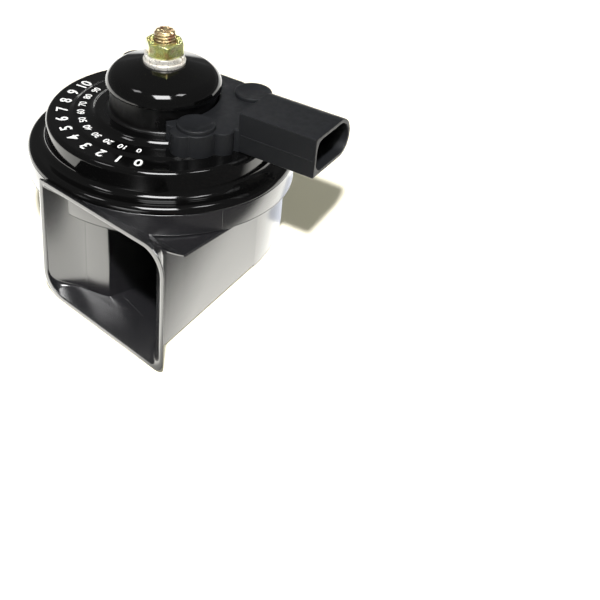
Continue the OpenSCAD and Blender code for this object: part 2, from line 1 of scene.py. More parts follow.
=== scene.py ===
"""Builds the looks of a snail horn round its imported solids: the pieces that show, their finishes and the stage."""

import json
import math

import bpy
import numpy as np
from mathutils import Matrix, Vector


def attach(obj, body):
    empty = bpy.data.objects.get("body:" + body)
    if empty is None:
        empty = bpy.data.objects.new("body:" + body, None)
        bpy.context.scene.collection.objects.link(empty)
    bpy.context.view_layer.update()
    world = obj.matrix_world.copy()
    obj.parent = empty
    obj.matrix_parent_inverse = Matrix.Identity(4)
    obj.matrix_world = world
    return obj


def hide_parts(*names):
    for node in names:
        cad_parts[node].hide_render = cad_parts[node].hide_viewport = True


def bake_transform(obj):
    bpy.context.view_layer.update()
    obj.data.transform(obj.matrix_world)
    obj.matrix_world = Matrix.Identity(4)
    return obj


bl_info = {
    "name": "Snail horn",
    "version": (1, 0, 0),
    "blender": (4, 5, 0),
    "location": "3D View > Sidebar > Horn",
    "description": "Makes the visible pieces and finishes of a snail horn",
    "category": "Object",
}

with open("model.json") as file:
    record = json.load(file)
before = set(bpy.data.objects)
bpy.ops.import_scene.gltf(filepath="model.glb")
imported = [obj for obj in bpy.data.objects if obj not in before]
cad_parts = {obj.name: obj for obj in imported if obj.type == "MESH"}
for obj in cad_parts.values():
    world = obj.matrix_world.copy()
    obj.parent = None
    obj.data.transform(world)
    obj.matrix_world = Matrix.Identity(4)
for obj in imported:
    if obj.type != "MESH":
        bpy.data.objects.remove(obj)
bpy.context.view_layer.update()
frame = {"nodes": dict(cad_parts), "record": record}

MM = 0.001
# The stud's axis leans by this many degrees, towards this direction
LEAN = 11.1
LEAN_DIRECTION = 105.8
# Radius of the holes that take the stud
HOLE = 4.1
# The connector and the contact breaker are turned about the stud's axis by so many degrees
CONNECTOR_TURN = 11.3
# The places of the two rivets under the bosses, in the connector's own axes
RIVETS = ((24.4, -14.4), (27.1, 20.7))
# Height of the duct's floor over the underside, where the bottom cover lies
COVER = 2.05
# How far the outermost surfaces stay inside the solids' box
SLACK = 0.02
# Steps round a large turned surface
AROUND = 256


# Measures and colours

def linear(hex_text):
    """An sRGB hex colour as the linear numbers that Blender works with."""
    parts = np.array([int(hex_text[i:i + 2], 16) for i in (1, 3, 5)]) / 255
    return tuple(np.where(parts <= 0.04045, parts / 12.92, ((parts + 0.055) / 1.055) ** 2.4))


def lengths(**sizes):
    """Sizes that a user may change, each given by its description and its default in millimetres. They are kept in
    metres, and each one's name is its key in plain words."""
    return {key: bpy.props.FloatProperty(name=key.replace("_", " ").capitalize(), description=description,
                                         default=size * MM, min=0.0, unit="LENGTH")
            for key, (description, size) in sizes.items()}


def in_mm(settings, *names):
    """The named sizes of a group in millimetres."""
    return [getattr(settings, name) / MM for name in names]


def colour(name, description, hex_text):
    return bpy.props.FloatVectorProperty(
        name=name, description=description, default=linear(hex_text), size=3, min=0.0, max=1.0, subtype="COLOR")


def location(name, description, metres):
    return bpy.props.FloatVectorProperty(
        name=name, description=description, default=metres, subtype="TRANSLATION", unit="LENGTH")


class HornCapSettings(bpy.types.PropertyGroup):
    __annotations__ = lengths(
        rim_radius=("Radius of the rolled rim and of the skirt under it", 51.7),
        seat=("Height of the joint between the cap and the trumpet", 33),
        flange=("Height of the flange round the raised disc", 35.8),
        disc_radius=("Radius of the raised disc", 44.6),
        face=("Height of the disc's face", 46.1),
        hub_step=("Radius at the middle of the hub's sloped step", 27.4),
        hub=("Height of the hub's top", 48.8),
        neck_radius=("Radius of the neck round the coil", 20.6),
        neck=("Height of the neck's top", 61),
        sheet=("Thickness of the pressed sheet", 1.2),
        dome_radius=("Radius of the dome's edge", 22),
        dome_edge=("Height of the dome's edge", 58.7),
        dome_seat=("Height of the washer seat on the dome", 68),
        dome_flat=("Radius of the flat washer seat", 9))


class HornStudSettings(bpy.types.PropertyGroup):
    __annotations__ = lengths(
        crest=("Radius of the thread's crest", 3.95),
        root=("Radius of the thread's root", 3.3),
        pitch=("Rise of the thread in one turn", 1.25),
        top=("Height of the stud's end", 80.7),
        nut_width=("Width of the nut across its flats", 13),
        nut_height=("Height of the nut", 5.2),
        washer_radius=("Radius of the flat washer", 8),
        washer=("Thickness of the flat washer", 1.4),
        spring_radius=("Radius of the spring washer", 7.4),
        spring=("Thickness of the spring washer", 2.2))


class HornTrumpetSettings(bpy.types.PropertyGroup):
    __annotations__ = lengths(
        skirt=("Height of the flat roof and of the skirt's lower edge", 24),
        wall_radius=("Radius of the round wall", 48.4),
        wall=("Thickness of the moulded wall", 2.2),
        mouth=("Distance of the mouth's plane from the stud", 57.8),
        mouth_left=("Left edge of the mouth, from the stud", 3.8),
        mouth_right=("Right edge of the mouth, from the stud", 61.7),
        lip=("Height of the mouth's upper lip above the roof", 14.8),
        throat=("Radius of the throat hole in the deck", 7))


class HornConnectorSettings(bpy.types.PropertyGroup):
    __annotations__ = lengths(
        plate=("Height of the base plate's top", 55),
        boss_radius=("Radius of the round bosses over the rivets", 7.25),
        boss=("Height of the bosses above the plate", 1.5),
        shroud=("Height of the plug shroud's top", 62),
        shroud_end=("Distance of the shroud's mouth from the stud", 70),
        shroud_wall=("Thickness of the shroud's wall", 1.7),
        socket=("Depth of the shroud's socket", 26))


class HornColours(bpy.types.PropertyGroup):
    polypropylene: colour("Polypropylene", "Colour of the moulded trumpet", "#1b1b1d")
    enamel: colour("Enamel", "Colour of the enamelled steel", "#060606")
    nylon: colour("Nylon", "Colour of the connector", "#1b1c1e")
    passivation: colour("Passivation", "Middle tone of the yellow-passivated zinc", "#bac478")
    zinc: colour("Zinc", "Middle tone of the plated washers", "#f0ece4")
    print_white: colour("Print", "Colour of the printed scale", "#e6e6e4")


class HornStageSettings(bpy.types.PropertyGroup):
    camera: location("Camera", "Where the camera stands", (0.27484, -0.22535, 0.32120))
    target: location("Target", "The point that the camera looks at", (0.0700, 0.0059, -0.0061))
    lens: bpy.props.FloatProperty(name="Lens", description="The camera's focal length in millimetres", default=69.71)
    main_power: bpy.props.FloatProperty(
        name="Main light", description="Power of the large light in mirror images", default=10.0, unit="POWER")


# Surfaces

def joined(*runs):
    """Runs of points or numbers, one after the other."""
    return np.concatenate(runs)


def sweep(start, end, count):
    """Equal steps from one angle in degrees to another, in radians."""
    return np.radians(np.linspace(start, end, count))


def arc(centre, radius, start, end, count):
    """Points at equal angles on a circle round the centre, from one angle in degrees to the other."""
    angle = sweep(start, end, count)
    return np.column_stack([centre[0] + radius * np.cos(angle), centre[1] + radius * np.sin(angle)])


def loft(rings, closed=False):
    """Makes a surface of rows of points, each a loop. If it is closed, the last row meets the first one. Otherwise
    both ends get a flat face."""
    rows, columns = rings.shape[:2]
    row, column = np.meshgrid(np.arange(rows if closed else rows - 1), np.arange(columns), indexing="ij")
    next_row, next_column = (row + 1) % rows, (column + 1) % columns
    quads = np.stack([row * columns + column, next_row * columns + column,
                      next_row * columns + next_column, row * columns + next_column], axis=-1).reshape(-1, 4)
    ends = [] if closed else [np.arange(columns), np.arange(rows * columns - 1, (rows - 1) * columns - 1, -1)]
    return rings.reshape(-1, 3), quads, ends


def turned(radius, angle, height):
    """Points round the axis: x and y are the radius times the cosine and the sine of the angle."""
    return np.stack(np.broadcast_arrays(radius * np.cos(angle), radius * np.sin(angle), height), axis=-1)


def lathe(profile, around=AROUND):
    """Turns a closed profile of radius and height once round the axis."""
    angle = np.linspace(0, 2 * np.pi, around, endpoint=False)[:, None]
    return loft(turned(profile[None, :, 0], angle, profile[None, :, 1]), True)


def prism(plan, low, high):
    """Raises a closed plan from the low height to the high one. Both may be one number or one for each point."""
    rings = [np.column_stack([plan, np.broadcast_to(height, len(plan))]) for height in (low, high)]
    return loft(np.stack(rings))


def on_horn(points, turn=0.0):
    """Takes points in millimetres from the stud's own axes, turned about it by so many degrees, to the part's axes
    in metres. The lean is a turn about a level axis k: v cos + (k x v) sin + k (k . v) (1 - cos)."""
    angle = math.radians(turn)
    spin = np.array([[math.cos(angle), -math.sin(angle), 0], [math.sin(angle), math.cos(angle), 0], [0, 0, 1]])
    points = points @ spin.T
    lean, way = math.radians(LEAN), math.radians(LEAN_DIRECTION)
    level = np.array([-math.sin(way), math.cos(way), 0])
    return (points * math.cos(lean) + np.cross(level, points) * math.sin(lean)
            + np.outer(points @ level, level) * (1 - math.cos(lean))) * MM


def outward(points, quads, ends):
    """Turns a closed surface round if its faces point inwards, which shows in a negative volume: the sum over its
    triangles of a . (b x c)."""
    fans = [np.column_stack([np.full(len(end) - 2, end[0]), end[1:-1], end[2:]]) for end in ends]
    corners = joined(quads[:, [0, 1, 2]], quads[:, [0, 2, 3]], *fans)
    a, b, c = points[corners[:, 0]], points[corners[:, 1]], points[corners[:, 2]]
    if np.einsum("ij,ij->", a, np.cross(b, c)) < 0:
        return quads[:, ::-1], [end[::-1] for end in ends]
    return quads, ends


def link_object(name, data):
    """Puts data into the scene as an object at the origin."""
    made = bpy.data.objects.new(name, data)
    bpy.context.scene.collection.objects.link(made)
    return made


def from_faces(name, points, faces, material):
    """Puts a mesh of one material into the scene."""
    mesh = bpy.data.meshes.new(name)
    mesh.from_pydata(points.tolist(), [], faces)
    mesh.materials.append(material)
    return link_object(name, mesh)


def new_piece(name, shells, material, turn=0.0, crease=32):
    """Makes one object from closed surfaces in the stud's own axes. Edges sharper than the crease stay sharp."""
    points, faces, count = [], [], 0
    for shell in shells:
        quads, ends = outward(*shell)
        points.append(on_horn(shell[0], turn))
        faces += (quads + count).tolist() + [(end + count).tolist() for end in ends]
        count += len(shell[0])
    piece = from_faces(name, joined(*points), faces, material)
    piece.data.shade_smooth()
    piece.data.set_sharp_from_angle(angle=math.radians(crease))
    return piece


def evaluated(made):
    """The mesh that an object has once its modifiers or its letters are worked out."""
    bpy.context.view_layer.update()
    return bpy.data.meshes.new_from_object(made.evaluated_get(bpy.context.evaluated_depsgraph_get()))


def settle(piece, body, slot, *nodes):
    """Puts a piece on the body that it moves with and hides the solids that it stands for. The slot is not used."""
    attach(piece, body)
    if nodes:
        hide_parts(*nodes)


# The shape of the steel cap and of the trumpet

def cap_profile(cap):
    """Outside and inside of the pressed cap as radius and height, from the stud's hole out to the rim. The sheet
    keeps its thickness round each bend."""
    rim, seat, flange, disc, face, step, hub, neck, top, sheet = in_mm(
        cap, "rim_radius", "seat", "flange", "disc_radius", "face", "hub_step", "hub", "neck_radius", "neck", "sheet")
    rim -= SLACK
    middle, ring, bend, valley, foot, edge = hub - 2, 35.1, 1.6, 4.5, 1.3, 1.5
    width = 2 + 0.414 * (bend + valley)
    start = step - width / 2
    # Each bend: its middle, its radius outside, its angles, and the steps outside and inside
    bends = ((neck + foot, hub + foot, foot, 180, 270, 10, 8), (start, hub - bend, bend, 90, 45, 8, 5),
             (start + width, middle + valley, valley, 225, 270, 14, 8), (disc - 2, face - 2, 2, 90, 0, 16, 8),
             (disc + 3, flange + 3, 3, 180, 270, 16, 10), (rim - 2.5, flange - 2.5, 2.5, 90, 0, 20, 8))
    over = [arc((x, y), radius, first, last, steps) for x, y, radius, first, last, steps, _ in bends]
    under = [arc((x, y), radius + (sheet if first > 90 else -sheet), first, last, steps)
             for x, y, radius, first, last, _, steps in bends]
    outside = joined(
        [[HOLE, top]], arc([neck - edge, top - edge], edge, 90, 0, 12), *over[:3],
        arc([ring - 1.1, middle - 0.9], 0.9, 90, 51, 5), arc([ring + 1.0, face + 0.9], 0.9, 231, 270, 5),
        *over[3:], arc([rim - 0.25, seat + 0.25], 0.25, 0, -90, 4))
    inside = joined(
        [[HOLE, top - sheet], [neck - sheet, top - sheet]], *under[:3],
        [[ring - 0.8, middle - sheet], [ring + 0.2, face - sheet]], *under[3:], [[rim - sheet, seat]])
    return outside, inside


def floor_height(x, y):
    """Height of the flat underside in the stud's own axes: a plane through the origin that slopes by the lean."""
    slope, way = math.tan(math.radians(LEAN)), math.radians(LEAN_DIRECTION - 180)
    return -slope * (math.cos(way) * x + math.sin(way) * y)


def opened(ahead, start, end, power):
    """How far a flare has opened, from 0 at the start to 1 at the end, as a power of the way along it."""
    return np.clip((ahead - start) / (end - start), 0, None) ** power


def flank(ahead, radius):
    """Where the flat flank stands. It leaves the round wall at a tangent, 4.1 degrees out of line."""
    turn = math.radians(4.1)
    return (radius + math.sin(turn) * ahead) / math.cos(turn)


def mouth_sections(trumpet, ahead_left, ahead_right, left, inset, lift):
    """Sections across the duct and the flared mouth, each a loop of four sides with rounded corners. The right side
    follows the flank and then a flare of power 1.4, the top a flare of power 1.1, and the bottom the underside's
    plane, raised by the lift. The top right and bottom left corners grow from 1 to 9.5 mm."""
    mouth, radius, roof = trumpet.mouth / MM, trumpet.wall_radius / MM, trumpet.skirt / MM
    quarter = sweep(0, 90, 11)[None, :]
    grown = opened(ahead_right, 49.5, mouth, 1.4)
    wide = (flank(ahead_right, radius) + (trumpet.mouth_right / MM - flank(mouth, radius)) * grown - inset)[:, None]
    near = (left + inset)[:, None]
    large = (1 + 8.5 * opened(ahead_right, 47.5, mouth, 1))[:, None]
    low = (1 + 8.5 * opened(ahead_right, 47.5, mouth, 4))[:, None]
    half, small = large / 2, 1 + 0 * large
    corners = ((wide - large, -large, large, 0), (near + small, -small, small, 0.5),
               (near + low, low, low, 1), (wide - half, half, half, 1.5))
    across = np.concatenate([x + r * np.cos(quarter + turn * np.pi) for x, _, r, turn in corners], axis=1)
    rise = np.concatenate([z + r * np.sin(quarter + turn * np.pi) for _, z, r, turn in corners], axis=1)
    share = (across - near) / (wide - near)
    ahead = ahead_left[:, None] * (1 - share) + ahead_right[:, None] * share
    top = roof + trumpet.lip / MM * opened(ahead, 38, mouth, 1.1) - inset[:, None]
    bottom = floor_height(across, -ahead) + lift[:, None]
    upper = np.arange(across.shape[1])[None, :] < 2 * quarter.size
    return np.stack([across, -ahead, np.where(upper, top, bottom) + rise], axis=-1)


# Finishes

def link_node(tree, kind, settings=None, **inputs):
    """Adds one node, with its settings, and gives each named input a value or a link. An underscore stands for a
    space in an input's name, and a number after n_ for its place."""
    node = tree.nodes.new("ShaderNode" + kind)
    for key, value in (settings or {}).items():
        setattr(node, key, value)
    for key, value in inputs.items():
        socket = node.inputs[int(key[2:])] if key.startswith("n_") else node.inputs[key.replace("_", " ")]
        if isinstance(value, bpy.types.NodeSocket):
            tree.links.new(value, socket)
        else:
            socket.default_value = value
    return node


def calculate(tree, operation, first, second):
    """The result of one sum with two values or links."""
    return link_node(tree, "Math", {"operation": operation}, n_0=first, n_1=second).outputs[0]


def remap(tree, value, low, high, to_low=0.0, to_high=1.0):
    """A value moved from one range to another, and held at the ends."""
    return link_node(tree, "MapRange", Value=value, From_Min=low, From_Max=high, To_Min=to_low,
                     To_Max=to_high).outputs["Result"]


def new_material(name, base, **surface):
    """A material with one surface shader. Returns it with its node tree and its shader."""
    material = bpy.data.materials.new(name)
    material.use_nodes = True
    tree = material.node_tree
    shader = tree.nodes["Principled BSDF"]
    shader.inputs["Base Color"].default_value = (*base, 1)
    for key, value in surface.items():
        shader.inputs[key.replace("_", " ")].default_value = value
    return material, tree, shader


def grained(name, grain, *tones, stretch=(1, 1, 1), **surface):
    """Makes one finish. Its grain is the size and the height of the bump in millimetres, and the least and greatest
    roughness, which varies over patches eight grains wide. Several tones vary over patches twenty grains wide."""
    size, height, rough_low, rough_high = grain
    tones = [linear(tone) if isinstance(tone, str) else tone for tone in tones]
    _, tree, shader = new_material(name, tones[len(tones) // 2], **surface)
    place = link_node(tree, "TexCoord").outputs["Object"]
    place = link_node(tree, "Mapping", Vector=place, Scale=stretch).outputs["Vector"]
    fine, broad, wide = (
        link_node(tree, "TexNoise", Vector=place, Scale=1 / (grains * size * MM), Detail=detail, Roughness=rough)
        .outputs["Fac"] for grains, detail, rough in ((1, 3.0, 0.55), (8, 4.0, 0.5), (20, 3.0, 0.5)))
    bump = link_node(tree, "Bump", Height=fine, Strength=1.0, Distance=height * MM)
    tree.links.new(bump.outputs["Normal"], shader.inputs["Normal"])
    tree.links.new(remap(tree, broad, 0.3, 0.7, rough_low, rough_high), shader.inputs["Roughness"])
    if tones[1:]:
        ramp = link_node(tree, "ValToRGB", Fac=wide)
        stops = ramp.color_ramp.elements
        for _ in tones[2:]:
            stops.new(0.5)
        for stop, position, tone in zip(stops, np.linspace(0.32, 0.68, len(tones)), tones):
            stop.position, stop.color = float(position), (*tone, 1)
        tree.links.new(ramp.outputs["Color"], shader.inputs["Base Color"])


def finishes():
    """All materials, made once and then found by name."""
    if "moulded polypropylene" in bpy.data.materials:
        return bpy.data.materials
    tints = bpy.context.scene.horn_colours
    # Black polypropylene from a polished mould: it mirrors pale things strongly at a low angle
    grained("moulded polypropylene", (2.5, 0.002, 0.2, 0.27), tints.polypropylene, IOR=1.75, Coat_Weight=1.0,
            Coat_Roughness=0.2, Coat_IOR=1.6)
    # Black stoving enamel on pressed steel: deep black with sharp highlights and a faint orange peel
    grained("black stoving enamel", (1.6, 0.0012, 0.06, 0.1), tints.enamel, IOR=1.5)
    # The same enamel where the sheet is drawn deep: thinner, so that it shows the metal's drawing marks and is satin
    grained("thin stoving enamel", (1.6, 0.003, 0.26, 0.36), tints.enamel, IOR=1.5)
    # Glass-filled nylon from a spark-eroded mould: matt, dark grey and finely grained
    grained("glass-filled nylon", (0.28, 0.006, 0.36, 0.5), tints.nylon, Specular_IOR_Level=0.3)
    # Yellow-passivated zinc on turned steel: a satin metal that shifts between straw, green and pink
    grained("yellow-passivated zinc", (0.22, 0.0012, 0.18, 0.28), "#b39a66", "#c4b86a", tints.passivation, "#d8dba6",
            "#c2a478", Metallic=0.75)
    # Yellow passivation that has gathered in a thread: browner, and duller in its grooves
    grained("heavy yellow passivation", (0.2, 0.0012, 0.24, 0.36), "#a98262", "#c2a276", "#d4c698", "#b68a6a",
            Metallic=0.8)
    # Zinc plate on stamped steel: a pale satin metal with a trace of straw
    grained("zinc plate", (0.15, 0.0015, 0.24, 0.36), "#e8e2d8", tints.zinc, "#f6f4ee", Metallic=0.6)
    # Cold-rolled steel, bare: a grey satin metal with fine rolling lines
    grained("cold-rolled steel", (0.1, 0.002, 0.3, 0.45), "#85878a", "#96989b", stretch=(1, 6, 1), Metallic=1.0)
    # Enamelled copper wire in a tight winding: warm satin metal
    grained("enamelled copper wire", (0.4, 0.05, 0.25, 0.35), "#a85c30", "#be7444", stretch=(0.1, 0.1, 4), Metallic=1.0)
    # Cold-rolled brass: yellow satin metal
    grained("cold-rolled brass", (0.12, 0.002, 0.25, 0.4), "#ac9049", "#bda35c", Metallic=1.0)
    # Moulded nylon of the coil's bobbin: dark and satin
    grained("moulded nylon", (0.3, 0.005, 0.4, 0.5), "#2c2c2c")
    # Oiled fibre paper of the gasket: dark brown with visible fibres
    grained("oiled fibre paper", (0.3, 0.03, 0.6, 0.8), "#2f2923", "#40382f")
    # Phenolic laminate of the insulators: red-brown, cloth-filled and satin
    grained("phenolic laminate", (0.3, 0.01, 0.4, 0.55), "#6d3324", "#864434")
    # White pad-printing ink: flat and slightly raised
    grained("pad-printing ink", (0.2, 0.002, 0.4, 0.55), tints.print_white)
    return bpy.data.materials


# Pieces

class HORN_OT_steel_cap(bpy.types.Operator):
    """Makes the pressed and enamelled steel cap and the dome on its neck"""
    bl_idname = "horn.steel_cap"
    bl_label = "Steel cap and dome"

    def execute(self, context):
        cap = context.scene.horn_cap
        enamel = finishes()["black stoving enamel"]
        outside, inside = cap_profile(cap)
        piece = new_piece("steel_cap", [lathe(joined(outside, inside[::-1]))], enamel)
        # The drawn neck is duller than the rest: its faces lie within its foot's radius and above the hub
        piece.data.materials.append(finishes()["thin stoving enamel"])
        count = len(piece.data.polygons)
        middle = np.empty(count * 3)
        piece.data.polygons.foreach_get("center", middle)
        lean = on_horn(np.array([[0, 0, 1.0]]))[0] / MM
        along = middle.reshape(-1, 3) @ lean
        out = np.linalg.norm(middle.reshape(-1, 3) - along[:, None] * lean, axis=1)
        dull = (out < cap.neck_radius + 1.5 * MM) & (along > cap.hub)
        piece.data.polygons.foreach_set("material_index", dull.astype(np.int32))
        settle(piece, "horn_body", "black_enamel", "steel_housing")
        radius, edge, seat, flat, sheet = in_mm(cap, "dome_radius", "dome_edge", "dome_seat", "dome_flat", "sheet")
        bend, slope = 6, 71
        centre = (radius - bend, edge + 0.8)
        side, inner = arc(centre, bend, slope, 0, 32), arc(centre, bend - sheet, slope, 0, 24)
        foot = arc((radius - sheet / 2, edge + sheet / 2), sheet / 2, 0, -180, 9)
        shoulder = arc((flat - 0.4, seat - 1.2), 1.2, 90, slope, 5)
        profile = joined(
            [[HOLE, seat]], shoulder, side, foot, inner[::-1], [[flat, seat - sheet], [HOLE, seat - sheet]])
        settle(new_piece("dome", [lathe(profile)], enamel), "horn_body", "black_enamel", "dome_cap")
        return {"FINISHED"}


class HORN_OT_stud(bpy.types.Operator):
    """Makes the threaded stud with its slotted end"""
    bl_idname = "horn.stud"
    bl_label = "Stud"

    def execute(self, context):
        stud = context.scene.horn_stud
        crest, root, pitch, top = in_mm(stud, "crest", "root", "pitch", "top")
        foot, thread_start, chamfer, slot, depth = 50.0, 60.0, 0.8, 0.5, 0.7
        top -= SLACK / 2
        height = joined([foot], np.arange(thread_start, top, pitch / 16), [top])[:, None]
        angle = np.linspace(0, 2 * np.pi, 96, endpoint=False)[None, :]
        # The thread's flanks rise and fall evenly with the way round and up, and are cut off flat at crest and root
        way = (height / pitch - angle / (2 * np.pi)) % 1
        flank_share = np.clip(1.25 * np.abs(2 * way - 1) - 0.12, 0, 1)
        radius = root + (crest - root) * flank_share
        radius = np.minimum(radius, crest - chamfer * np.clip((height - top + chamfer) / chamfer, 0, 1))
        radius = np.where(height < thread_start + 0.5, crest - 0.05, radius)
        zinc = finishes()["heavy yellow passivation"]
        piece = new_piece("stud", [loft(turned(radius, angle, height))], zinc)
        cutter = new_piece("slot_cutter", [prism(
            np.array([[-5, -slot], [5, -slot], [5, slot], [-5, slot]]), top - depth, top + 1)], zinc)
        cut = piece.modifiers.new("slot", "BOOLEAN")
        cut.operation, cut.solver, cut.object = "DIFFERENCE", "EXACT", cutter
        shape = evaluated(piece)
        piece.modifiers.clear()
        piece.data = shape
        bpy.data.objects.remove(cutter)
        settle(piece, "horn_body", "yellow_zinc", "mounting_stud")
        return {"FINISHED"}


class HORN_OT_nut(bpy.types.Operator):
    """Makes the hexagon nut with its chamfered corners"""
    bl_idname = "horn.nut"
    bl_label = "Nut"

    def execute(self, context):
        cap, stud = context.scene.horn_cap, context.scene.horn_stud
        low = (cap.dome_seat + stud.washer + stud.spring) / MM
        high, flat = low + stud.nut_height / MM, stud.nut_width / 2 / MM
        # How far in the chamfer's cone starts, how softly it meets the flats, and how sharp the six corners are
        inset, soft, sharp = 0.15, 0.12, 90
        near_end = np.linspace(0, 1, 12) ** 1.5 * 1.2
        height = joined(low + near_end, high - near_end[::-1])[:, None]
        angle = np.radians(np.linspace(0, 360, 240, endpoint=False))[None, :]
        # The six flats blend at the corners: one over the 90th root of the sum of the 90th powers of cosine over flat
        flats = np.radians(55.5 + 60 * np.arange(6))[:, None]
        hexagon = 1 / (np.clip(np.cos(angle - flats) / flat, 0, None) ** sharp).sum(0)[None, :] ** (1 / sharp)
        cone = flat - inset + 1.7 * np.minimum(height - low, high - height)
        side = -soft * np.log(np.exp(-hexagon / soft) + np.exp(-cone / soft))
        depth = 0.45
        bore = 4.0 + 0 * angle
        radius = joined(bore, bore + depth, side, bore + depth, bore)
        levels = joined([[low + depth], [low]], height, [[high], [high - depth]])
        surface = loft(turned(radius, angle, levels), True)
        piece = new_piece("nut", [surface], finishes()["yellow-passivated zinc"], crease=28)
        settle(piece, "nut", "yellow_zinc", "hex_nut")
        return {"FINISHED"}


class HORN_OT_washers(bpy.types.Operator):
    """Makes the flat washer and the split spring washer"""
    bl_idname = "horn.washers"
    bl_label = "Washers"

    def execute(self, context):
        cap, stud = context.scene.horn_cap, context.scene.horn_stud
        zinc = finishes()["zinc plate"]
        low, middle = cap.dome_seat / MM, (cap.dome_seat + stud.washer) / MM
        outer, bore = stud.washer_radius / MM, 4.15
        # A stamped washer: rounded by the die above and sharper below
        profile = joined(
            arc((outer - 0.2, middle - 0.2), 0.2, 90, 0, 6), arc((outer - 0.12, low + 0.12), 0.12, 0, -90, 3),
            [[bore + 0.15, low], [bore, low + 0.15], [bore, middle - 0.2], [bore + 0.2, middle]])
        settle(new_piece("plain_washer", [lathe(profile, 128)], zinc), "washer_pair", "bright_zinc", "flat_washer")
        high, outer = middle + stud.spring / MM, stud.spring_radius / MM
        section = joined(
            arc((outer - 0.15, high - 0.15), 0.15, 90, 0, 5), arc((outer - 0.3, middle + 0.3), 0.3, 0, -90, 5),
            arc((bore + 0.3, middle + 0.3), 0.3, 270, 180, 5), arc((bore + 0.15, high - 0.15), 0.15, 180, 90, 5))
        cut, half_gap, slant = 20, 3.2, 30
        angle = sweep(cut + half_gap, cut + 360 - half_gap, 120)[:, None]
        radius, height = section[None, :, 0], section[None, :, 1]
        # The cut slants: the angle shifts with the height over the radius
        angle = angle - math.tan(math.radians(slant)) * (height - (middle + high) / 2) / outer
        surface = loft(turned(radius, angle, height))
        settle(new_piece("split_washer", [surface], zinc), "washer_pair", "bright_zinc", "spring_washer")
        return {"FINISHED"}


